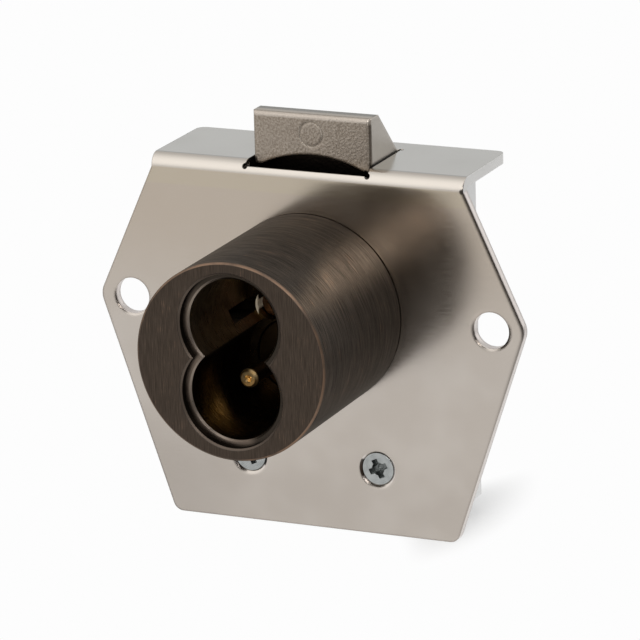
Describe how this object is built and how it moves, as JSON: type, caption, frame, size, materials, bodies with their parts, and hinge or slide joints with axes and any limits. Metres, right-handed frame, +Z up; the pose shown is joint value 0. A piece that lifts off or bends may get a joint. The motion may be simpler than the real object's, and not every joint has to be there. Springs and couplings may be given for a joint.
{
  "type": "drawer lock",
  "caption": "Spring latch lock for a drawer: bent mounting plate with a slot for the latch, round barrel that takes a removable figure-eight core, and a case on the rear.",
  "frame": {"origin": "where the barrel's axis meets the front face of the mounting plate", "axes": "-Y along the barrel, out of the drawer front; +X to the right as seen from the front; +Z up, the way the latch points"},
  "size_m": [0.066, 0.0434, 0.0609],
  "materials": {
    "plate_steel": "satin nickel plated steel",
    "dark_bronze": "dark brushed bronze, rubbed through at the edges",
    "raw_brass": "machined, dull",
    "pin_brass": "machined, bright",
    "cast_zinc": "die cast, nickel plated, slightly grainy",
    "screw_zinc": "zinc plated",
    "screw_steel": "plain steel",
    "inner_steel": "plain stamped and turned steel",
    "spring_steel": "drawn spring steel",
    "case_steel": "light zinc plated"
  },
  "bodies": {
    "frame": {"mounting_plate": "plate_steel", "barrel_shell": "dark_bronze", "core_housing": "raw_brass", "housing_screws": "screw_steel", "locating_dowels": "screw_steel", "driver_bushing": "raw_brass", "thrust_washer": "inner_steel", "stop_pin": "inner_steel", "rear_case": "case_steel", "case_screws": "screw_zinc", "return_spring": "spring_steel", "return_post": "inner_steel"},
    "driver": {"drive_spindle": "raw_brass", "driver_pins": "pin_brass", "crank_disc": "inner_steel", "crank_pin": "inner_steel", "crank_washer": "inner_steel", "spindle_screw": "screw_zinc"},
    "carriage": {"retractor_carriage": "inner_steel", "latch_spring_left": "spring_steel", "latch_spring_right": "spring_steel"},
    "latch": {"latch_bolt": "cast_zinc", "latch_rods": "inner_steel", "rod_clips": "spring_steel"}
  },
  "joints": [
    {"name": "driver_turn", "type": "hinge", "parent": "frame", "child": "driver", "pos_m": [0, 0, -0.00495], "axis": [0, 1, 0], "range_deg": [0, 90]},
    {"name": "carriage_slide", "type": "slide", "parent": "frame", "child": "carriage", "axis": [0, 0, -1], "range_m": [0, 0.0069], "stiffness_N_per_m": 1160, "springref_m": -0.0018, "deforming": ["return_spring"]},
    {"name": "latch_slide", "type": "slide", "parent": "carriage", "child": "latch", "axis": [0, 0, -1], "range_m": [0, 0.0069], "stiffness_N_per_m": 2100, "springref_m": -0.001, "deforming": ["latch_spring_left", "latch_spring_right"]}
  ],
  "couplings": [
    {"joint": "driver_turn", "follows": "carriage_slide", "rad_per_m": 227.6}
  ]
}
